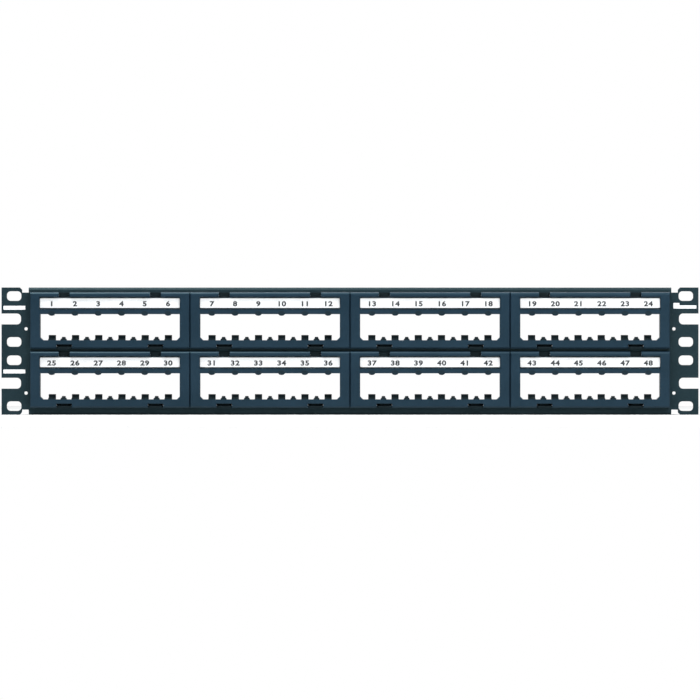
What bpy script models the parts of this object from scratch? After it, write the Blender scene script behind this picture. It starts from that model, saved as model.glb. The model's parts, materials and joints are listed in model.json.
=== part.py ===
"""Two-unit 19-inch modular patch panel: a bent steel frame with rack ears, and eight snap-in plastic
faceplates in two rows of four, each with a numbered label strip behind a clear cover.

Metres, +Z up, the front faces -Y. The origin is the centre of the panel on the rack's mounting plane,
which is the back face of the ears. A faceplate is drawn with x = 0 at its middle and z = 0 at its top edge.
"""

import math

import bmesh
import bpy
from mathutils import Vector

# Rack panel
PANEL_WIDTH = 0.4826
PANEL_HEIGHT = 0.0881
SHEET = 0.0015
BODY_WIDTH = 0.4450
FLANGE_BACK = 0.022
BEND_RADIUS = 0.0022
FLANGE_CORNER = 0.004
BEND_STEPS = 5
SHEET_FRONT = -SHEET

# Rack ears
EAR_ROOT = 0.210
RELIEF_DEPTH = 0.0035
RELIEF_OUTER = 0.2270
EAR_CORNER = 0.0016
SLOT_X = 0.23255
SLOT_LENGTH = 0.0100
SLOT_HEIGHT = 0.0066
SLOT_CORNER = 0.0026
OPEN_SLOT_END = 0.2278
OPEN_SLOT_HEIGHT = 0.0075
OPEN_SLOT_CORNER = 0.0028
CLOSED_SLOT_Z = (0.0381, 0.00635, -0.00635, -0.0381)
OPEN_SLOT_Z = (0.02225, -0.02225)
PILOT_X = 0.2243
PILOT_Z = (0.0154, -0.02905)
PILOT_RADIUS = 0.00115
CORNER_STEPS = 6
PILOT_STEPS = 16

# Faceplate grid
COLUMNS = 4
ROW_TOPS = (0.0408, -0.0002)
PITCH = 0.1108
PLATE_WIDTH = 0.1103
PLATE_HEIGHT = 0.0390
CLEARANCE = 0.0003
PORTS = 6
PORT_PITCH = 0.0161

# Faceplate bezel, which stands in front of the sheet
BEZEL_BACK = SHEET_FRONT - CLEARANCE
BEZEL_FRONT = -0.0060
TOP_ROUND_HEIGHT = 0.0021
TOP_ROUND_DEPTH = 0.0016
TOP_ROUND_STEPS = 5
LOWER_EDGE = 0.0010
SIDE_EDGE = 0.0005

# Window in the sheet, and the faceplate's walls that pass through it
WINDOW_HALF = 0.05045
WINDOW_TOP = -0.0020
WINDOW_BOTTOM = -0.0374
WALL = 0.0014
CHAMBER_ROOF = 0.0024
CHAMBER_RIB = 0.0010
CHAMBER_RIB_BACK = 0.0006
SHELL_BACK = 0.0050
PORT_BOX_BACK = 0.0110

# Port opening
OPENING_HALF = 0.04835
OPENING_TOP = -0.0152
OPENING_BOTTOM = -0.03325
OPENING_CORNER = 0.0020
TAB_WIDTH = 0.0050
TAB_HEIGHT = 0.0036
TAB_FRONT = 0.0080
TAB_LEAD = 0.0010
SILL_HEIGHT = 0.0011
SILL_BACK = -0.0015
DIVIDER_FOOT = 0.0046
DIVIDER_SHOULDER = 0.0034
DIVIDER_WIDTH = 0.0031
DIVIDER_HEIGHT = 0.0023
DIVIDER_TIP = 0.0022
DIVIDER_FRONT = 0.0005
NUB_WIDTH = 0.0048
NUB_HEIGHT = 0.0034
NUB_DROP = 0.0012
NUB_PROUD = 0.00025
NUB_BACK = -0.0025
NUB_STEPS = 18
GUIDE_WIDTH = 0.0030
GUIDE_HEIGHT = 0.0009
SINK = 0.0006

# Label, its clear cover and their recess
LABEL_TOP = -0.0043
LABEL_HEIGHT = 0.0066
LABEL_THICKNESS = 0.0003
COVER_FRONT = -0.0058
COVER_THICKNESS = 0.0008
COVER_RIB = 0.0006
COVER_RIB_BACK = -0.0042
RECESS_FLOOR = COVER_RIB_BACK + CLEARANCE

# Snap latches
LATCH_X = 0.0316
LATCH_WIDTH = 0.0070
LATCH_THICKNESS = 0.0012
LATCH_ROOT = 0.0039
LATCH_BITE = 0.0014
LATCH_CATCH = 0.0003
LATCH_CREST = 0.0011
NOTCH_WIDTH = LATCH_WIDTH + 2 * CLEARANCE

# Upper latch's thumb plate
THUMB_FRONT = -0.0029
THUMB_TOP = -0.0003

# Lower latch's finger, which fills the foot of its notch
FINGER_WIDTH = 0.0092
FINGER_FRONT = -0.0056
FINGER_THICKNESS = 0.0011
FINGER_TOP = -0.0379
FINGER_BOTTOM = -0.0393
FINGER_RISE = -0.0364
LOWER_ARM_FRONT = -0.0033
LOWER_NOTCH_TOP = -0.0361
LOWER_NOTCH_HEAD = 0.0110
LOWER_NOTCH_FOOT = 0.0098

PAST = 0.002  # how far a cutter runs past the face it opens


def clear_scene():
    for obj in list(bpy.data.objects):
        bpy.data.objects.remove(obj, do_unlink=True)


def material(name, color, roughness, metallic=0.0, alpha=1.0):
    made = bpy.data.materials.new(name)
    made.use_nodes = True
    shader = made.node_tree.nodes["Principled BSDF"]
    shader.inputs["Base Color"].default_value = (*color, 1.0)
    shader.inputs["Roughness"].default_value = roughness
    shader.inputs["Metallic"].default_value = metallic
    shader.inputs["Alpha"].default_value = alpha
    return made


def rectangle(left, right, bottom, top):
    return [(left, bottom), (right, bottom), (right, top), (left, top)]


def arc(center, radius, start, end, steps):
    """Points on an arc, its ends included, from start to end in degrees."""
    turns = [math.radians(start + (end - start) * n / steps) for n in range(steps + 1)]
    return [(center[0] + radius * math.cos(t), center[1] + radius * math.sin(t)) for t in turns]


def rounded_rectangle(left, right, bottom, top, radius, steps):
    inner = rectangle(left + radius, right - radius, bottom + radius, top - radius)
    points = []
    for corner, start in zip(inner, (180, 270, 0, 90)):
        points += arc(corner, radius, start, start + 90, steps)
    return points


def mirrored(outline):
    return [(-a, b) for a, b in outline]


def add_prism(mesh, outline, low, high, along="Y"):
    """Adds a closed prism. The outline holds (x, z) for a prism along Y, (y, z) along X and (x, y) along Z."""
    place = {
        "X": lambda a, b, c: (c, a, b),
        "Y": lambda a, b, c: (a, c, b),
        "Z": lambda a, b, c: (a, b, c),
    }[along]
    ends = [[mesh.verts.new(place(a, b, c)) for a, b in outline] for c in (low, high)]
    faces = [mesh.faces.new(end) for end in ends]
    for n in range(len(outline)):
        following = (n + 1) % len(outline)
        faces.append(
            mesh.faces.new((ends[0][n], ends[0][following], ends[1][following], ends[1][n]))
        )
    bmesh.ops.recalc_face_normals(mesh, faces=faces)


def solid(name, prisms):
    """An object that holds the given prisms, which stay clear of each other."""
    mesh = bmesh.new()
    for prism in prisms:
        add_prism(mesh, *prism)
    data = bpy.data.meshes.new(name)
    mesh.to_mesh(data)
    mesh.free()
    made = bpy.data.objects.new(name, data)
    bpy.context.scene.collection.objects.link(made)
    return made


def combine(base, operation, prisms):
    """Joins the prisms to the base with UNION, or cuts them from it with DIFFERENCE."""
    other = solid(f"{base.name}_{operation.lower()}_{len(base.modifiers)}", prisms)
    other.hide_render = True
    other.display_type = "WIRE"
    step = base.modifiers.new(other.name, "BOOLEAN")
    step.operation = operation
    step.solver = "EXACT"
    step.object = other


def finished_mesh(base, name, smooth_under=30):
    """The base's mesh with its modifiers applied, cleaned of doubled points; base and helpers are removed."""
    bpy.context.view_layer.update()
    graph = bpy.context.evaluated_depsgraph_get()
    data = bpy.data.meshes.new_from_object(base.evaluated_get(graph))
    data.name = name
    mesh = bmesh.new()
    mesh.from_mesh(data)
    bmesh.ops.remove_doubles(mesh, verts=mesh.verts, dist=1e-6)
    bmesh.ops.dissolve_limit(
        mesh, angle_limit=math.radians(0.05), verts=mesh.verts, edges=mesh.edges
    )
    mesh.to_mesh(data)
    mesh.free()
    data.shade_smooth()
    data.set_sharp_from_angle(angle=math.radians(smooth_under))
    for step in base.modifiers:
        bpy.data.objects.remove(step.object, do_unlink=True)
    bpy.data.objects.remove(base, do_unlink=True)
    return data


def place(name, data, finish, location=(0, 0, 0), parent=None):
    """An object at a place given from its parent's origin."""
    made = bpy.data.objects.new(name, data)
    bpy.context.scene.collection.objects.link(made)
    if finish.name not in data.materials:
        data.materials.append(finish)
    made.parent = parent
    made.location = Vector(location)
    return made


# ---- Frame ------------------------------------------------------------------------------------


def channel_profile():
    """The (y, z) section of web and flanges: a C of one sheet thickness with rounded bends."""
    top = PANEL_HEIGHT / 2
    bend = (SHEET_FRONT + BEND_RADIUS, top - BEND_RADIUS)
    inner = BEND_RADIUS - SHEET
    upper = [(FLANGE_BACK, top)]
    upper += arc(bend, BEND_RADIUS, 90, 180, BEND_STEPS)
    upper_inner = arc(bend, inner, 180, 90, BEND_STEPS)
    upper_inner += [(FLANGE_BACK, top - SHEET)]
    lower = [(y, -z) for y, z in reversed(upper)]
    lower_inner = [(y, -z) for y, z in reversed(upper_inner)]
    return upper + lower + lower_inner + upper_inner


def ear_outline():
    """The (x, z) outline of the right ear, from inside the body out to the rack edge."""
    edge, top = PANEL_WIDTH / 2, PANEL_HEIGHT / 2
    relief = top - RELIEF_DEPTH
    upper = [
        (edge, top),
        (RELIEF_OUTER + EAR_CORNER, top),
        (RELIEF_OUTER, top - EAR_CORNER),
        (RELIEF_OUTER, relief),
        (EAR_ROOT, relief),
    ]
    return upper + [(x, -z) for x, z in reversed(upper)]


def ear_cuts():
    """Outlines of the right ear's slots and pilot holes."""
    inner = SLOT_X - SLOT_LENGTH / 2
    outer = SLOT_X + SLOT_LENGTH / 2
    cuts = []
    for z in CLOSED_SLOT_Z:
        half = SLOT_HEIGHT / 2
        cuts.append(rounded_rectangle(inner, outer, z - half, z + half, SLOT_CORNER, CORNER_STEPS))
    for z in OPEN_SLOT_Z:
        half = OPEN_SLOT_HEIGHT / 2
        low, high, radius = z - half, z + half, OPEN_SLOT_CORNER
        past = PANEL_WIDTH / 2 + PAST
        cut = arc((OPEN_SLOT_END + radius, high - radius), radius, 90, 180, CORNER_STEPS)
        cut += arc((OPEN_SLOT_END + radius, low + radius), radius, 180, 270, CORNER_STEPS)
        cuts.append(cut + [(past, low), (past, high)])
    for z in PILOT_Z:
        cuts.append(arc((PILOT_X, z), PILOT_RADIUS, 0, 360, PILOT_STEPS)[:-1])
    return cuts


def plate_centers():
    """(x, top z) of each faceplate, by rows from the top and from the left."""
    columns = [(n - (COLUMNS - 1) / 2) * PITCH for n in range(COLUMNS)]
    return [(x, top) for top in ROW_TOPS for x in columns]


def window_cuts():
    return [
        rectangle(x - WINDOW_HALF, x + WINDOW_HALF, top + WINDOW_BOTTOM, top + WINDOW_TOP)
        for x, top in plate_centers()
    ]


def flange_corner_cut():
    """The (x, y) outline that takes the right rear corners off both flanges."""
    side = BODY_WIDTH / 2
    return [
        (side - FLANGE_CORNER - PAST, FLANGE_BACK + PAST),
        (side + PAST, FLANGE_BACK - FLANGE_CORNER - PAST),
        (side + PAST, FLANGE_BACK + PAST),
    ]


def build_frame(finish):
    half = BODY_WIDTH / 2
    body = solid("frame_body", [(channel_profile(), -half, half, "X")])
    ears = [ear_outline(), mirrored(ear_outline())]
    combine(body, "UNION", [(outline, SHEET_FRONT, 0, "Y") for outline in ears])
    cuts = ear_cuts()
    cuts += [mirrored(cut) for cut in cuts]
    cuts += window_cuts()
    combine(body, "DIFFERENCE", [(cut, SHEET_FRONT - PAST, PAST, "Y") for cut in cuts])
    corners = [flange_corner_cut(), mirrored(flange_corner_cut())]
    combine(
        body, "DIFFERENCE", [(cut, -PANEL_HEIGHT, PANEL_HEIGHT, "Z") for cut in corners]
    )
    return place("frame", finished_mesh(body, "frame"), finish)


# ---- Faceplate --------------------------------------------------------------------------------


def bezel():
    """The front plate, with a rounded top edge and small chamfers on its other front edges."""
    half = PLATE_WIDTH / 2
    section = [(BEZEL_BACK, 0)]
    for across, up in arc((0, 0), 1, 90, 180, TOP_ROUND_STEPS):
        front = BEZEL_FRONT + TOP_ROUND_DEPTH * (1 + across)
        section.append((front, TOP_ROUND_HEIGHT * (up - 1)))
    section += [
        (BEZEL_FRONT, -PLATE_HEIGHT + LOWER_EDGE),
        (BEZEL_FRONT + LOWER_EDGE, -PLATE_HEIGHT),
        (BEZEL_BACK, -PLATE_HEIGHT),
    ]
    made = solid("bezel", [(section, -half, half, "X")])
    side_cut = [
        (half - SIDE_EDGE - PAST, BEZEL_FRONT - PAST),
        (half + PAST, BEZEL_FRONT - PAST),
        (half + PAST, BEZEL_FRONT + SIDE_EDGE + PAST),
    ]
    cuts = [(cut, -PLATE_HEIGHT - PAST, PAST, "Z") for cut in (side_cut, mirrored(side_cut))]
    combine(made, "DIFFERENCE", cuts)
    return made


def opening_outline():
    """The six-port window, with its lower corners cut off."""
    return [
        (-OPENING_HALF, OPENING_TOP),
        (-OPENING_HALF, OPENING_BOTTOM + OPENING_CORNER),
        (-OPENING_HALF + OPENING_CORNER, OPENING_BOTTOM),
        (OPENING_HALF - OPENING_CORNER, OPENING_BOTTOM),
        (OPENING_HALF, OPENING_BOTTOM + OPENING_CORNER),
        (OPENING_HALF, OPENING_TOP),
    ]


def port_centers():
    return [(n - (PORTS - 1) / 2) * PORT_PITCH for n in range(PORTS)]


def ellipse(center, width, height, steps):
    turns = arc((0, 0), 0.5, 0, 360, steps)[:-1]
    return [(center[0] + width * a, center[1] + height * b) for a, b in turns]


def trapezoid(middle, foot_width, head_width, bottom, top):
    foot, head = foot_width / 2, head_width / 2
    return [
        (middle - foot, bottom),
        (middle + foot, bottom),
        (middle + head, top),
        (middle - head, top),
    ]


def port_details(x):
    """What holds a jack in one port: a tab behind its foot, a sill before it, and a nub above."""
    foot, half = OPENING_BOTTOM - SINK, TAB_WIDTH / 2
    head = OPENING_BOTTOM + TAB_HEIGHT
    tab = [
        (TAB_FRONT, foot),
        (PORT_BOX_BACK, foot),
        (PORT_BOX_BACK, head),
        (TAB_FRONT + TAB_LEAD, head),
        (TAB_FRONT, head - TAB_LEAD),
    ]
    sill = trapezoid(x, TAB_WIDTH + SINK, TAB_WIDTH - SINK, foot, OPENING_BOTTOM + SILL_HEIGHT)
    nub_z = OPENING_TOP - NUB_DROP + NUB_HEIGHT / 2
    nub = ellipse((x, nub_z), NUB_WIDTH, NUB_HEIGHT, NUB_STEPS)
    guide = rectangle(
        x - GUIDE_WIDTH / 2, x + GUIDE_WIDTH / 2, OPENING_TOP - GUIDE_HEIGHT, OPENING_TOP + SINK
    )
    return [
        (tab, x - half, x + half, "X"),
        (sill, BEZEL_FRONT + LOWER_EDGE, SILL_BACK, "Y"),
        (nub, BEZEL_FRONT - NUB_PROUD, NUB_BACK, "Y"),
        (guide, NUB_BACK - SINK, PORT_BOX_BACK, "Y"),
    ]


def divider_details(x):
    """A rib between two ports: a low broad foot from the front, and a narrow crest further in."""
    bottom = OPENING_BOTTOM - SINK
    low = trapezoid(x, DIVIDER_FOOT, DIVIDER_SHOULDER, bottom, OPENING_BOTTOM + SILL_HEIGHT)
    tall = trapezoid(x, DIVIDER_WIDTH, DIVIDER_TIP, bottom, OPENING_BOTTOM + DIVIDER_HEIGHT)
    return [
        (low, BEZEL_FRONT + LOWER_EDGE, PORT_BOX_BACK, "Y"),
        (tall, DIVIDER_FRONT, PORT_BOX_BACK, "Y"),
    ]


def chamber_rib(x):
    """A low stiffening rib on the floor of the hollow behind the label."""
    half = CHAMBER_RIB / 2
    top = WINDOW_TOP - CLEARANCE - CHAMBER_ROOF + SINK
    outline = rectangle(x - half, x + half, OPENING_TOP + WALL - SINK, top)
    return (outline, BEZEL_BACK - SINK, CHAMBER_RIB_BACK, "Y")


def latch_slits():
    """Blind slits in the shell, where the latches' arms lie. The upper ones open the bezel's top edge too."""
    slit_top = WINDOW_TOP - 2 * CLEARANCE - LATCH_THICKNESS
    slit_bottom = WINDOW_BOTTOM + 2 * CLEARANCE + LATCH_THICKNESS
    half, front = NOTCH_WIDTH / 2, BEZEL_FRONT - PAST
    root = LATCH_ROOT + CLEARANCE
    slits = []
    for x in (-LATCH_X, LATCH_X):
        upper = rectangle(x - half, x + half, slit_top, PAST)
        lower = rectangle(x - half, x + half, -PLATE_HEIGHT - PAST, slit_bottom)
        slits += [(upper, front, root, "Y"), (lower, LOWER_ARM_FRONT - CLEARANCE, root, "Y")]
    return slits


def lower_notches():
    """Notches in the bezel's lower edge, which the latches' fingers fill in part."""
    bottom = -PLATE_HEIGHT - PAST
    notches = [
        trapezoid(x, LOWER_NOTCH_FOOT, LOWER_NOTCH_HEAD, bottom, LOWER_NOTCH_TOP)
        for x in (-LATCH_X, LATCH_X)
    ]
    return [(notch, BEZEL_FRONT - PAST, BEZEL_BACK + CLEARANCE / 2, "Y") for notch in notches]


def faceplate_mesh():
    made = bezel()
    joined = BEZEL_BACK - CLEARANCE
    wall_half = WINDOW_HALF - CLEARANCE
    wall_top = WINDOW_TOP - CLEARANCE
    wall_bottom = WINDOW_BOTTOM + CLEARANCE
    shell = rectangle(-wall_half, wall_half, wall_bottom, wall_top)
    combine(made, "UNION", [(shell, joined, SHELL_BACK, "Y")])
    box = rectangle(-wall_half, wall_half, OPENING_BOTTOM - WALL, OPENING_TOP + WALL)
    combine(made, "UNION", [(box, joined, PORT_BOX_BACK, "Y")])

    label_bottom = LABEL_TOP - LABEL_HEIGHT
    rib_room = 2 * CLEARANCE + COVER_RIB
    recess = rectangle(
        -OPENING_HALF - CLEARANCE,
        OPENING_HALF + CLEARANCE,
        label_bottom - rib_room,
        LABEL_TOP + rib_room,
    )
    chamber = rectangle(-OPENING_HALF, OPENING_HALF, OPENING_TOP + WALL, wall_top - CHAMBER_ROOF)
    hollows = [
        (opening_outline(), BEZEL_FRONT - PAST, PORT_BOX_BACK + PAST, "Y"),
        (recess, BEZEL_FRONT - PAST, RECESS_FLOOR, "Y"),
        (chamber, BEZEL_BACK, SHELL_BACK + PAST, "Y"),
    ]
    combine(made, "DIFFERENCE", hollows)
    combine(made, "DIFFERENCE", latch_slits())
    combine(made, "DIFFERENCE", lower_notches())
    between = [x - PORT_PITCH / 2 for x in port_centers()[1:]]
    for group in zip(*[port_details(x) for x in port_centers()]):
        combine(made, "UNION", group)
    for group in zip(*[divider_details(x) for x in between]):
        combine(made, "UNION", group)
    combine(made, "UNION", [chamber_rib(x) for x in between])
    return finished_mesh(made, "faceplate")


def catch_section(outer, outward):
    """The (y, z) points of a latch's outer side: its catch behind the sheet and the ramp that pushes it in."""
    crest = outer + outward * LATCH_BITE
    return [
        (LATCH_CATCH, outer),
        (LATCH_CATCH, crest),
        (LATCH_CREST, crest),
        (LATCH_ROOT, outer),
    ]


def upper_latch_mesh():
    """A flexible arm, rooted at its rear, with a thumb plate that stands in the bezel's notch."""
    outer = WINDOW_TOP - CLEARANCE
    inner = outer - LATCH_THICKNESS
    section = [
        (LATCH_ROOT, inner),
        (THUMB_FRONT, inner),
        (THUMB_FRONT, THUMB_TOP),
        (BEZEL_BACK, THUMB_TOP),
        (BEZEL_BACK, outer),
    ]
    half = LATCH_WIDTH / 2
    made = solid("upper_latch", [(section + catch_section(outer, 1), -half, half, "X")])
    return finished_mesh(made, "upper_latch")


def lower_latch_mesh():
    """A flexible arm, rooted at its rear, that drops to a broad finger at the bezel's lower edge."""
    outer = WINDOW_BOTTOM + CLEARANCE
    inner = outer + LATCH_THICKNESS
    arm = [(LATCH_ROOT, inner), (LOWER_ARM_FRONT, inner), (LOWER_ARM_FRONT, outer)]
    arm += catch_section(outer, -1)
    heel = BEZEL_BACK - CLEARANCE / 2
    finger = [
        (heel, FINGER_RISE),
        (FINGER_FRONT, FINGER_TOP),
        (FINGER_FRONT, FINGER_BOTTOM),
        (FINGER_FRONT + FINGER_THICKNESS, FINGER_BOTTOM),
        (heel, outer - FINGER_THICKNESS / 2),
    ]
    made = solid("lower_latch", [(arm, -LATCH_WIDTH / 2, LATCH_WIDTH / 2, "X")])
    combine(made, "UNION", [(finger, -FINGER_WIDTH / 2, FINGER_WIDTH / 2, "X")])
    return finished_mesh(made, "lower_latch")


def cover_mesh():
    """The clear cover: a shallow channel whose two ribs lie above and below the label."""
    rib_top = LABEL_TOP + CLEARANCE + COVER_RIB
    rib_bottom = LABEL_TOP - LABEL_HEIGHT - CLEARANCE - COVER_RIB
    inside = COVER_FRONT + COVER_THICKNESS
    section = [
        (COVER_FRONT, rib_top),
        (COVER_FRONT, rib_bottom),
        (COVER_RIB_BACK, rib_bottom),
        (COVER_RIB_BACK, rib_bottom + COVER_RIB),
        (inside, rib_bottom + COVER_RIB),
        (inside, rib_top - COVER_RIB),
        (COVER_RIB_BACK, rib_top - COVER_RIB),
        (COVER_RIB_BACK, rib_top),
    ]
    made = solid("cover", [(section, -OPENING_HALF, OPENING_HALF, "X")])
    return finished_mesh(made, "label_cover")


def label_mesh():
    front = COVER_FRONT + COVER_THICKNESS + CLEARANCE
    strip = rectangle(-OPENING_HALF, OPENING_HALF, LABEL_TOP - LABEL_HEIGHT, LABEL_TOP)
    made = solid("label", [(strip, front, front + LABEL_THICKNESS, "Y")])
    return finished_mesh(made, "label")


def build_faceplates(frame, plastic, paper, clear):
    plate_data, label_data, cover_data = faceplate_mesh(), label_mesh(), cover_mesh()
    latch_data = {"upper": upper_latch_mesh(), "lower": lower_latch_mesh()}
    for number, (x, top) in enumerate(plate_centers(), start=1):
        plate = place(f"faceplate_{number}", plate_data, plastic, (x, 0, top), frame)
        cover = place(f"label_cover_{number}", cover_data, clear, parent=plate)
        place(f"label_{number}", label_data, paper, parent=cover)
        for level, data in latch_data.items():
            for side, offset in (("left", -LATCH_X), ("right", LATCH_X)):
                place(f"latch_{number}_{level}_{side}", data, plastic, (offset, 0, 0), plate)


def main():
    clear_scene()
    steel = material("powder_coated_steel", (0.022, 0.035, 0.047), 0.45)
    plastic = material("black_plastic", (0.020, 0.032, 0.044), 0.5)
    paper = material("label_paper", (0.90, 0.91, 0.92), 0.8)
    clear = material("clear_plastic", (0.95, 0.97, 0.98), 0.08, alpha=0.25)
    frame = build_frame(steel)
    build_faceplates(frame, plastic, paper, clear)


main()
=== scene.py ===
"""Looks of the patch panel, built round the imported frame.

A powder-coated steel panel with eight black snap-in faceplates, each with a numbered paper label
behind a clear cover, and white bars printed on the rack ears. Metres, +Z up, the front faces -Y.
"""

import json
import math
from collections import namedtuple

import bmesh
import bpy
from mathutils import Matrix, Vector

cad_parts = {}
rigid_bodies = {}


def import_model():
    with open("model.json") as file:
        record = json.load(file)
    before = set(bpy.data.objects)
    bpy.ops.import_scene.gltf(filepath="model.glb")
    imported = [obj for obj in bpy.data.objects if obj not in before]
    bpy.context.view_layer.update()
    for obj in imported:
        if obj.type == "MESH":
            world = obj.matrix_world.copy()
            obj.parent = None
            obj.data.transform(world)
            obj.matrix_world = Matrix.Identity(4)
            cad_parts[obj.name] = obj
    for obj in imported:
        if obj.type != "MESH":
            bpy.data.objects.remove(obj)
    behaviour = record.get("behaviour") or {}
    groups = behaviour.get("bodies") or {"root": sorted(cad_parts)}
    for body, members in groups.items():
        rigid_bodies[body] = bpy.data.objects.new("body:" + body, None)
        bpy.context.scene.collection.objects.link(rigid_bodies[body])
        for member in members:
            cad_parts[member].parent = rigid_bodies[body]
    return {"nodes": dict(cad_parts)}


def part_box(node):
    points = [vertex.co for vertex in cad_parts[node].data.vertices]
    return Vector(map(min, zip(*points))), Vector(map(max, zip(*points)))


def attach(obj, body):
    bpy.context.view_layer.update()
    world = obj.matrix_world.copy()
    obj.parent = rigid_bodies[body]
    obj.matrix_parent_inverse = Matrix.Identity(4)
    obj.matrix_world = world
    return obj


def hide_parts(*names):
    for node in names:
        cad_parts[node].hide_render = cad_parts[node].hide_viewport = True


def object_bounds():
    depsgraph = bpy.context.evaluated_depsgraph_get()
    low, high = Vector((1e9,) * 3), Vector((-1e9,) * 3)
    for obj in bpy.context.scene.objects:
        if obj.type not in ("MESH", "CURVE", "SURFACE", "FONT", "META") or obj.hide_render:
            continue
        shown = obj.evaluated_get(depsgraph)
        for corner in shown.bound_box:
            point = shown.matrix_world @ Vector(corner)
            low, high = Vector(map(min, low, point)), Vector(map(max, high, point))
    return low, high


for old in list(bpy.data.objects):
    bpy.data.objects.remove(old, do_unlink=True)

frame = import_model()
cad_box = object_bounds()

MM = 0.001
PLATES = range(1, 9)
SIDES = ("left", "right")

# How the CAD nodes' edges are rounded
FRAME_ROUND = 0.13 * MM
BEZEL_ROUND = 0.25 * MM
LATCH_ROUND = 0.15 * MM
COVER_ROUND = 0.18 * MM
ROUND_SEGMENTS = 2
SHARP_ANGLE = math.radians(25)  # an edge that turns by more than this is rounded
FLAT_ANGLE = math.radians(0.2)  # faces that turn by less than this are merged
MERGE_DISTANCE = 1e-6

# Where a latch widens to fill its notch: (front, back, factor), in the order the latches are made
LATCH_FLARE = {"upper": (-3.0 * MM, -1.7 * MM, 1.06), "lower": (-2.1 * MM, -1.9 * MM, 1.13)}

# Where painted shade darkens a faceplate's surface, standing in for the shade on its deep walls,
# in its ports and on its nubs' fronts. The depths are (front, back) ends of the change, and the
# ports' heights are measured down from the faceplate's top edge.
PORT_TOP = 15.3 * MM
PORT_FOOT = 33.2 * MM
PORT_FADE = 0.1 * MM
PORT_DEPTHS = (-5.8 * MM, -5.1 * MM)
WALL_DEPTHS = (-5.0 * MM, -1.2 * MM)
NUB_DEPTHS = (-6.2 * MM, -6.1 * MM)
# Painted shade on the nubs' fronts, as a share of the way to the painted port-inside tone
NUB_SHADE = 0.6  # how dark the fronts of the nubs above the ports are, against the port insides

# Labels
PAPER_THICKNESS = 0.16 * MM
PAPER_CORNER = 0.5 * MM
PAPER_WAVE = 0.05 * MM
PAPER_WAVE_LENGTH = 37 * MM
PAPER_WAVE_SHIFT = 1.7  # how far the wave moves on from one label to the next, in radians
PAPER_STEPS = 72

# Port numbers
PORTS = 6
PORT_PITCH = 16.1 * MM
DIGIT_HEIGHT = 3.4 * MM
DIGIT_STRETCH = 1.25  # width of the digits against the font's own
DIGIT_BOLD = 0.042  # how far the strokes are thickened, as a share of the type size
DIGIT_GAP = 1.12  # spacing of the digits against the font's own
DIGIT_DROP = 0.35 * MM  # how far the digits' middle lies below the label's
DIGIT_STEPS = 4
CAPITAL_SHARE = 0.73  # a digit's height as a share of the type size
INK_DEPTH = 0.02 * MM

# White bars on the ears: their (inner, outer) ends, measured from the panel's middle, and the
# heights of their middles. The right one has a hook that stands on its inner end.
BAR_LEFT = (224.8 * MM, 240.0 * MM)
BAR_LEFT_Z = {"upper": 30.0 * MM, "lower": -14.1 * MM}
BAR_HEIGHT = 2.7 * MM
BAR_RIGHT = (223.9 * MM, 239.8 * MM)
BAR_RIGHT_Z = 30.55 * MM
BAR_RIGHT_HEIGHT = 2.2 * MM
HOOK_WIDTH = 4.2 * MM
HOOK_RISE = 1.7 * MM
BAR_THICKNESS = 0.04 * MM
BAR_CORNER = 0.35 * MM
BAR_CORNER_STEPS = 3


# ---- Node helpers -------------------------------------------------------------------------------

Relief = namedtuple("Relief", ("height", "depth", "strength"))


def color(red, green, blue):
    return (red, green, blue, 1.0)


class Nodes:
    """Short names for building one material. Coordinates are the object's own, in metres."""

    def __init__(self, name):
        self.material = bpy.data.materials.new(name)
        self.material.use_nodes = True
        self.tree = self.material.node_tree
        self.shader = self.tree.nodes["Principled BSDF"]
        self.coords = self.tree.nodes.new("ShaderNodeTexCoord").outputs["Object"]

    def put(self, socket, value):
        if isinstance(value, bpy.types.NodeSocket):
            self.tree.links.new(value, socket)
        else:
            socket.default_value = value

    def add(self, kind, settings=None, **inputs):
        node = self.tree.nodes.new(kind)
        for key, value in (settings or {}).items():
            setattr(node, key, value)
        for key, value in inputs.items():
            self.put(node.inputs[key.replace("_", " ")], value)
        return node

    def set(self, **inputs):
        for key, value in inputs.items():
            self.put(self.shader.inputs[key.replace("_", " ")], value)

    def axis(self, letter):
        return self.add("ShaderNodeSeparateXYZ", Vector=self.coords).outputs[letter]

    def stretched(self, x, y, z):
        """The coordinates scaled along each axis, for streaks."""
        return self.add("ShaderNodeMapping", Vector=self.coords, Scale=(x, y, z)).outputs[0]

    def noise(self, size, detail=2.0, roughness=0.5, coords=None):
        """Noise whose features are about size metres across."""
        settings = {"Scale": 1 / size, "Detail": detail, "Roughness": roughness}
        node = self.add("ShaderNodeTexNoise", Vector=coords or self.coords, **settings)
        return node.outputs["Fac"]

    def between(self, value, low, high, from_low=0.35, from_high=0.65):
        """The value spread from one range to another, clamped."""
        node = self.add("ShaderNodeMapRange", {"clamp": True}, Value=value)
        for socket, number in zip(node.inputs[1:5], (from_low, from_high, low, high)):
            self.put(socket, number)
        return node.outputs["Result"]

    def uneven(self, finish, size):
        """Roughness that varies a little about a surface's finish, in patches of the given size."""
        return self.between(self.noise(size, detail=3.0), finish - 0.04, finish + 0.05)

    def mix(self, factor, first, second):
        node = self.add("ShaderNodeMix", {"data_type": "RGBA"})
        self.put(node.inputs[0], factor)
        self.put(node.inputs[6], first)
        self.put(node.inputs[7], second)
        return node.outputs[2]

    def math(self, operation, first, second=0.0):
        node = self.add("ShaderNodeMath", {"operation": operation})
        self.put(node.inputs[0], first)
        self.put(node.inputs[1], second)
        return node.outputs[0]

    def bump(self, *reliefs):
        """Stacks reliefs, whose depths are in metres, and returns the normal."""
        normal = None
        for height, depth, strength in reliefs:
            node = self.add("ShaderNodeBump", Height=height, Distance=depth, Strength=strength)
            if normal is not None:
                self.put(node.inputs["Normal"], normal)
            normal = node.outputs["Normal"]
        return normal


# ---- Materials ----------------------------------------------------------------------------------

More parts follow.
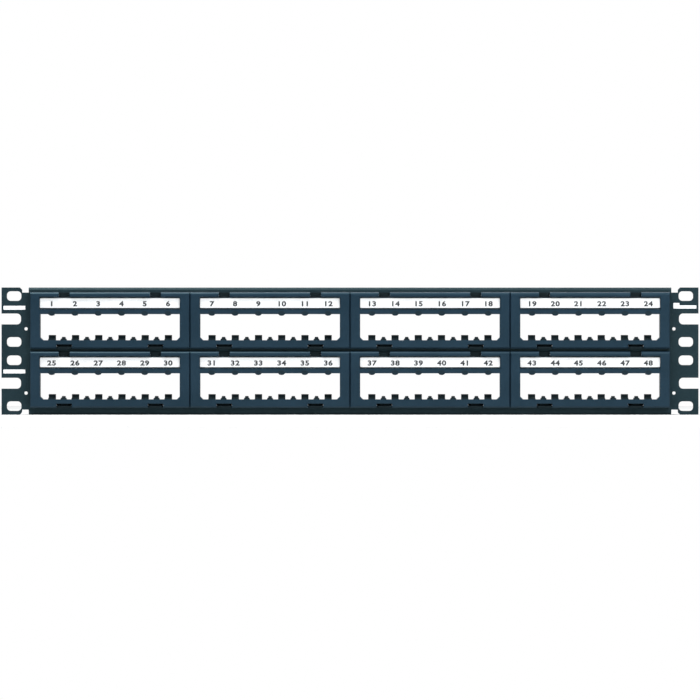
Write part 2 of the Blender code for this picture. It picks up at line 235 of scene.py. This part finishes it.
# Base colours, where a pair is a surface's darker and its lighter tone
COAT = (color(0.008, 0.018, 0.024), color(0.011, 0.023, 0.030))
COAT_EDGE = (color(0.013, 0.025, 0.032), color(0.019, 0.033, 0.042))
PLASTIC = (color(0.0060, 0.018, 0.034), color(0.0085, 0.023, 0.042))
PLASTIC_EDGE = (color(0.009, 0.025, 0.043), color(0.013, 0.032, 0.053))
# Painted shade: the near-black that a faceplate's deep walls, port insides and nub fronts are
# darkened to
PLASTIC_PAINTED_SHADE = color(0.0045, 0.007, 0.010)
# Painted shade: the latches are coloured near-black for the shade in their notches
LATCH_PAINTED_SHADE = color(0.003, 0.005, 0.007)
DUST = color(0.11, 0.13, 0.14)
CLEAR = color(0.22, 0.26, 0.28)
# Painted highlight: the clear covers' rounded edges are lighter and more opaque, for the glints
# along them
CLEAR_EDGE_HIGHLIGHT = color(0.40, 0.48, 0.52)
CARD = (color(0.955, 0.96, 0.97), color(0.975, 0.98, 0.985))
FIBRE = color(0.88, 0.89, 0.91)
INK = (color(0.003, 0.003, 0.005), color(0.012, 0.012, 0.017))
PRINT = (color(0.80, 0.83, 0.86), color(0.92, 0.93, 0.95))
FLOOR = (color(0.61, 0.61, 0.61), color(0.64, 0.64, 0.64))
SHEEN = color(0.60, 0.95, 1.0)  # the cool cast of the black surfaces' gloss


def powder_coat(name, tones, finish, dust):
    """Black powder coat on steel: a fine orange peel, a faint mottle and pale specks of dust."""
    n = Nodes(name)
    mottle = n.between(n.noise(19 * MM, detail=3.0), 0, 1)
    specks = n.between(n.noise(0.5 * MM, detail=1.0), 0, dust, from_low=0.66, from_high=0.74)
    peel = Relief(n.noise(1.1 * MM), depth=0.035 * MM, strength=0.45)
    grain = Relief(n.noise(0.26 * MM, roughness=0.6), depth=0.009 * MM, strength=0.45)
    n.set(
        Base_Color=n.mix(specks, n.mix(mottle, *tones), DUST),
        Roughness=n.uneven(finish, 2.6 * MM),
        Normal=n.bump(peel, grain),
        Specular_IOR_Level=0.25,
        Specular_Tint=SHEEN,
    )
    return n.material


def painted_inner_shade(n):
    """How far painted shade darkens a faceplate at each point: at its deep walls, port insides and
    nub fronts.
    """
    plate_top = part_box("faceplate_1")[1].z
    row_pitch = plate_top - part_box("faceplate_5")[1].z
    depth = n.axis("Y")
    below_top = n.math("MODULO", n.math("SUBTRACT", plate_top, n.axis("Z")), row_pitch)
    past_label = n.between(below_top, 0, 1, PORT_TOP, PORT_TOP + PORT_FADE)
    above_foot = n.between(below_top, 1, 0, PORT_FOOT, PORT_FOOT + PORT_FADE)
    in_ports = n.math("MULTIPLY", past_label, above_foot)
    shade = n.math("MULTIPLY", in_ports, n.between(depth, 0, 1, *PORT_DEPTHS))
    shade = n.math("MAXIMUM", shade, n.between(depth, 0, 1, *WALL_DEPTHS))
    return n.math("MAXIMUM", shade, n.between(depth, NUB_SHADE, 0, *NUB_DEPTHS))


def moulding(name, tones, finish, grain_depth):
    """Black moulded plastic with a fine grain and faint flow streaks, and painted shade further in.
    """
    n = Nodes(name)
    mottle = n.between(n.noise(24 * MM, detail=3.0), 0, 1)
    flow = n.noise(3.0 * MM, coords=n.stretched(0.25, 1, 1))
    streaks = n.between(flow, 0, 0.35, from_low=0.5, from_high=0.75)
    outside = n.mix(streaks, n.mix(mottle, *tones), tones[1])
    sink = Relief(n.noise(8 * MM, detail=1.0), depth=0.05 * MM, strength=0.25)
    grain = Relief(n.noise(0.20 * MM, roughness=0.65), depth=grain_depth, strength=0.5)
    n.set(
        # painted shade darkens the deep walls, port insides and nub fronts
        Base_Color=n.mix(painted_inner_shade(n), outside, PLASTIC_PAINTED_SHADE),
        Roughness=n.uneven(finish, 1.4 * MM),
        Normal=n.bump(sink, grain),
        Specular_IOR_Level=0.35,
        Specular_Tint=SHEEN,
    )
    return n.material


def latch_plastic():
    """The latches' plain black, darker than the faceplate's as painted shade for their notches, and
    duller than the faceplate's face.
    """
    n = Nodes("latch_painted_shade")
    grain = Relief(n.noise(0.22 * MM), depth=0.012 * MM, strength=0.4)
    n.set(
        Base_Color=LATCH_PAINTED_SHADE,
        Roughness=n.between(n.noise(0.9 * MM, detail=3.0), 0.42, 0.56),
        Normal=n.bump(grain),
        Specular_IOR_Level=0.22,
        Specular_Tint=SHEEN,
    )
    return n.material


def clear_plastic(name, tint, alpha):
    """Thin polished clear plastic, a little wavy."""
    n = Nodes(name)
    wave = Relief(n.noise(18 * MM, detail=1.0), depth=0.04 * MM, strength=0.2)
    n.set(
        Base_Color=tint,
        Alpha=alpha,
        IOR=1.6,
        Roughness=n.between(n.noise(5 * MM, detail=3.0), 0.05, 0.13),
        Normal=n.bump(wave),
    )
    return n.material


def label_paper():
    """White card with a faint fibre texture."""
    n = Nodes("white_card")
    cloud = n.between(n.noise(12 * MM, detail=3.0), 0, 1)
    fibre = n.noise(0.30 * MM, detail=4.0, roughness=0.7, coords=n.stretched(0.4, 1, 1))
    threads = n.between(fibre, 0, 0.25, from_low=0.6, from_high=0.8)
    n.set(
        Base_Color=n.mix(threads, n.mix(cloud, *CARD), FIBRE),
        Roughness=n.between(fibre, 0.7, 0.85),
        Normal=n.bump(Relief(fibre, depth=0.012 * MM, strength=0.5)),
    )
    return n.material


def label_ink():
    """Black printed ink that sinks unevenly into the card."""
    n = Nodes("label_ink")
    fade = n.between(n.noise(0.28 * MM, detail=3.0), 0, 1, from_low=0.4, from_high=0.75)
    rough = n.between(fade, 0.45, 0.65, from_low=0, from_high=1)
    n.set(Base_Color=n.mix(fade, *INK), Roughness=rough)
    return n.material


def white_print():
    """White screen-printed paint, thinner in places."""
    n = Nodes("white_print")
    paint = n.noise(0.6 * MM, detail=3.0)
    peel = Relief(n.noise(1.1 * MM), depth=0.03 * MM, strength=0.4)
    n.set(
        Base_Color=n.mix(n.between(paint, 0, 1, from_low=0.25, from_high=0.5), *PRINT),
        Roughness=n.between(paint, 0.45, 0.6),
        Normal=n.bump(peel),
    )
    return n.material


def studio_floor():
    n = Nodes("studio_floor")
    tone = n.mix(n.between(n.noise(0.4), 0, 1), *FLOOR)
    n.set(Base_Color=tone, Roughness=0.7, Specular_IOR_Level=0.0)
    return n.material


# ---- Making pieces ------------------------------------------------------------------------------


def mesh_data(name, mesh):
    """The finished mesh of a bmesh, which is freed."""
    data = bpy.data.meshes.new(name)
    mesh.to_mesh(data)
    mesh.free()
    return data


def link(name, data, *finishes):
    made = bpy.data.objects.new(name, data)
    bpy.context.scene.collection.objects.link(made)
    data.materials.clear()
    for finish in finishes:
        data.materials.append(finish)
    return made


# ---- Pieces that stand for CAD nodes ------------------------------------------------------------


def rounded_copy(name, node, radius, face_finish, edge_finish, flare=None):
    """A CAD node's own shape with its edges rounded, standing for the node.

    The rounds take the edge finish. A flare is (front, back, factor): what lies between those
    depths is made wider about the node's middle.
    """
    mesh = bmesh.new()
    mesh.from_mesh(frame["nodes"][node].data)
    if flare:
        front, back, factor = flare
        low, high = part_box(node)
        middle = (low.x + high.x) / 2
        for vertex in mesh.verts:
            if front < vertex.co.y < back:
                vertex.co.x = middle + (vertex.co.x - middle) * factor
    bmesh.ops.remove_doubles(mesh, verts=mesh.verts, dist=MERGE_DISTANCE)
    bmesh.ops.dissolve_limit(
        mesh, angle_limit=FLAT_ANGLE, verts=mesh.verts, edges=mesh.edges
    )
    for face in mesh.faces:
        face.material_index = 0
    bmesh.ops.bevel(
        mesh,
        geom=[e for e in mesh.edges if e.calc_face_angle(0) > SHARP_ANGLE],
        offset=radius,
        segments=ROUND_SEGMENTS,
        profile=0.5,
        affect="EDGES",
        clamp_overlap=True,
        material=1,
    )
    data = mesh_data(name, mesh)
    data.shade_smooth()
    made = link(name, data, face_finish, edge_finish)
    smooth = made.modifiers.new("even_shading", "WEIGHTED_NORMAL")
    smooth.keep_sharp = False
    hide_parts(node)
    return made


def build_panel():
    coat = powder_coat("coat", COAT, finish=0.42, dust=0.35)
    worn = powder_coat("coat_edge", COAT_EDGE, finish=0.36, dust=0.6)
    panel = rounded_copy("steel_panel", "frame", FRAME_ROUND, coat, worn)
    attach(panel, "frame")


def build_faceplates():
    face = moulding("plastic", PLASTIC, finish=0.39, grain_depth=0.010 * MM)
    edge = moulding("plastic_edge", PLASTIC_EDGE, finish=0.34, grain_depth=0.006 * MM)
    # The latches' near-black is painted shade for their notches
    black = latch_plastic()
    for plate in PLATES:
        body = f"faceplate_{plate}"
        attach(rounded_copy(f"bezel_{plate}", body, BEZEL_ROUND, face, edge), body)
        for level, flare in LATCH_FLARE.items():
            for side in SIDES:
                name = f"{plate}_{level}_{side}"
                node = f"latch_{name}"
                arm = rounded_copy(f"arm_{name}", node, LATCH_ROUND, black, black, flare)
                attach(arm, body)


def build_covers():
    clear = clear_plastic("clear", CLEAR, alpha=0.06)
    # The covers' rounds take a lighter, more opaque clear: a painted highlight along their edges
    painted_rim = clear_plastic("clear_edge_painted_highlight", CLEAR_EDGE_HIGHLIGHT, alpha=0.55)
    for plate in PLATES:
        node = f"label_cover_{plate}"
        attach(rounded_copy(f"clear_cover_{plate}", node, COVER_ROUND, clear, painted_rim), node)


# ---- Labels and their numbers -------------------------------------------------------------------


def paper_face(plate, x):
    """How far back the card's front face lies at x, behind its foremost place."""
    angle = math.tau * x / PAPER_WAVE_LENGTH + PAPER_WAVE_SHIFT * plate
    return PAPER_WAVE * (0.5 - 0.5 * math.cos(angle))


def paper_strip(plate, finish):
    """The label: a card strip with rounded corners, which doesn't lie quite flat."""
    low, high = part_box(f"label_{plate}")
    middle, half_height = (low.z + high.z) / 2, (high.z - low.z) / 2
    mesh = bmesh.new()
    rings = []
    for step in range(PAPER_STEPS + 1):
        share = 0.5 - 0.5 * math.cos(math.pi * step / PAPER_STEPS)
        x = low.x + share * (high.x - low.x)
        short = max(0.0, PAPER_CORNER - min(x - low.x, high.x - x))
        half = half_height - PAPER_CORNER + math.sqrt(PAPER_CORNER**2 - short**2)
        front = low.y + paper_face(plate, x)
        back = front + PAPER_THICKNESS
        ring = [(front, half), (front, -half), (back, -half), (back, half)]
        rings.append([mesh.verts.new((x, y, middle + z)) for y, z in ring])
    for near, far in zip(rings, rings[1:]):
        for n in range(len(near)):
            mesh.faces.new((near[n], near[n - 1], far[n - 1], far[n]))
    mesh.faces.new(rings[0])
    mesh.faces.new(rings[-1])
    bmesh.ops.recalc_face_normals(mesh, faces=mesh.faces)
    card = link(f"card_{plate}", mesh_data(f"card_{plate}", mesh), finish)
    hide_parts(f"label_{plate}")
    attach(card, f"label_cover_{plate}")


def text_mesh(text):
    """Bold figures as a closed mesh, centred on x = 0, with their feet on y = 0."""
    size = DIGIT_HEIGHT / CAPITAL_SHARE
    curve = bpy.data.curves.new("letters", "FONT")
    curve.body = text
    curve.size = size
    curve.offset = DIGIT_BOLD * size
    curve.space_character = DIGIT_GAP
    curve.align_x = "CENTER"
    curve.extrude = INK_DEPTH / 2
    curve.resolution_u = DIGIT_STEPS
    maker = bpy.data.objects.new("letters", curve)
    bpy.context.scene.collection.objects.link(maker)
    bpy.context.view_layer.update()
    graph = bpy.context.evaluated_depsgraph_get()
    data = bpy.data.meshes.new_from_object(maker.evaluated_get(graph))
    bpy.data.objects.remove(maker)
    return data


def numbers(plate, finish):
    """The six port numbers of one label, printed on the card's wavy face."""
    low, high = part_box(f"label_{plate}")
    center = (low + high) / 2
    feet = center.z - DIGIT_DROP - DIGIT_HEIGHT / 2
    mesh = bmesh.new()
    for port in range(PORTS):
        data = text_mesh(str((plate - 1) * PORTS + port + 1))
        data.transform(Matrix.Diagonal((DIGIT_STRETCH, 1, 1, 1)))
        start = len(mesh.verts)
        mesh.from_mesh(data)
        mesh.verts.ensure_lookup_table()
        middle = center.x + (port - (PORTS - 1) / 2) * PORT_PITCH
        for vertex in mesh.verts[start:]:
            flat = vertex.co.copy()
            x = middle + flat.x
            y = low.y + paper_face(plate, x) - INK_DEPTH / 2 - flat.z
            vertex.co = (x, y, feet + flat.y)
    made = link(f"numbers_{plate}", mesh_data(f"numbers_{plate}", mesh), finish)
    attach(made, f"label_cover_{plate}")


def build_labels():
    card, ink = label_paper(), label_ink()
    for plate in PLATES:
        paper_strip(plate, card)
        numbers(plate, ink)


# ---- Printed bars on the ears -------------------------------------------------------------------


def print_bar(name, outline, finish):
    """A white mark on an ear's front face. The outline holds (x, z) points."""
    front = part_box("frame")[0].y
    mesh = bmesh.new()
    face = mesh.faces.new([mesh.verts.new((x, front, z)) for x, z in outline])
    grown = bmesh.ops.extrude_face_region(mesh, geom=[face])["geom"]
    moved = [v for v in grown if isinstance(v, bmesh.types.BMVert)]
    bmesh.ops.translate(mesh, verts=moved, vec=(0, -BAR_THICKNESS, 0))
    upright = []
    for edge in mesh.edges:
        near, far = edge.verts
        if abs(near.co.y - far.co.y) > BAR_THICKNESS / 2:
            upright.append(edge)
    bmesh.ops.bevel(
        mesh,
        geom=upright,
        offset=BAR_CORNER,
        segments=BAR_CORNER_STEPS,
        profile=0.5,
        affect="EDGES",
    )
    bmesh.ops.recalc_face_normals(mesh, faces=mesh.faces)
    made = link(name, mesh_data(name, mesh), finish)
    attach(made, "frame")


def build_print():
    white = white_print()
    right, left = (-end for end in BAR_LEFT)
    for level, middle in BAR_LEFT_Z.items():
        low, high = middle - BAR_HEIGHT / 2, middle + BAR_HEIGHT / 2
        outline = [(left, low), (right, low), (right, high), (left, high)]
        print_bar(f"print_bar_left_{level}", outline, white)
    low, high = BAR_RIGHT_Z - BAR_RIGHT_HEIGHT / 2, BAR_RIGHT_Z + BAR_RIGHT_HEIGHT / 2
    inner, outer = BAR_RIGHT
    outline = [(inner, low), (outer, low), (outer, high), (inner + HOOK_WIDTH, high)]
    outline += [(inner + HOOK_WIDTH, high + HOOK_RISE), (inner, high + HOOK_RISE)]
    print_bar("print_bar_right_upper", outline, white)


# ---- Stage --------------------------------------------------------------------------------------

VIEW_WIDTH = 484.8 * MM
VIEW_DISTANCE = 6.0
VIEW_RISE = 0.75 * MM
VIEW_END = 100.0
FLOOR_HALF = 0.95

WORLD_TINT = color(0.90, 0.97, 1.0)
WORLD_LIGHT = 0.27

# Lamps: name, place, (width, height) and power in watts
LAMPS = (
    ("overhead", (-0.45, -0.48, 1.45), (0.9, 0.60), 31),
    ("front", (0.82, -1.05, 0.85), (0.7, 0.5), 17),
    ("back", (0.2, 1.3, 1.2), (1.0, 0.6), 14),
)


def build_floor():
    mesh = bmesh.new()
    bmesh.ops.create_grid(mesh, x_segments=1, y_segments=1, size=FLOOR_HALF)
    data = mesh_data("floor", mesh)
    data.transform(Matrix.Translation((0, 0, cad_box[0].z)))
    link("floor", data, studio_floor())


def softbox(name, place, size, power):
    """A rectangular lamp that faces the object and stays out of sight."""
    data = bpy.data.lights.new(name, "AREA")
    data.shape = "RECTANGLE"
    data.size, data.size_y = size
    data.energy = power
    lamp = bpy.data.objects.new(name, data)
    bpy.context.scene.collection.objects.link(lamp)
    lamp.location = place
    lamp.rotation_euler = (-Vector(place)).to_track_quat("-Z", "Y").to_euler()
    lamp.visible_camera = False


def build_world():
    """White to the camera, and a dimmer, slightly cool light on the object."""
    world = bpy.data.worlds.new("studio")
    world.use_nodes = True
    bpy.context.scene.world = world
    tree = world.node_tree
    tree.nodes.clear()
    out = tree.nodes.new("ShaderNodeOutputWorld")
    rays = tree.nodes.new("ShaderNodeLightPath")
    mix = tree.nodes.new("ShaderNodeMixShader")
    tree.links.new(rays.outputs["Is Camera Ray"], mix.inputs[0])
    for socket, tone, strength in (
        (mix.inputs[1], WORLD_TINT, WORLD_LIGHT),
        (mix.inputs[2], color(1, 1, 1), 1.0),
    ):
        background = tree.nodes.new("ShaderNodeBackground")
        background.inputs["Color"].default_value = tone
        background.inputs["Strength"].default_value = strength
        tree.links.new(background.outputs[0], socket)
    tree.links.new(mix.outputs[0], out.inputs[0])


def build_camera():
    data = bpy.data.cameras.new("camera")
    data.lens = data.sensor_width * VIEW_DISTANCE / VIEW_WIDTH
    data.clip_end = VIEW_END
    data.shift_y = VIEW_RISE / VIEW_WIDTH
    camera = bpy.data.objects.new("camera", data)
    bpy.context.scene.collection.objects.link(camera)
    camera.location = (0, -VIEW_DISTANCE, 0)
    camera.rotation_euler = (math.radians(90), 0, 0)
    bpy.context.scene.camera = camera


build_panel()
build_faceplates()
build_covers()
build_labels()
build_print()
build_floor()
build_world()
for lamp_settings in LAMPS:
    softbox(*lamp_settings)
build_camera()
bpy.context.scene.view_settings.view_transform = "Standard"
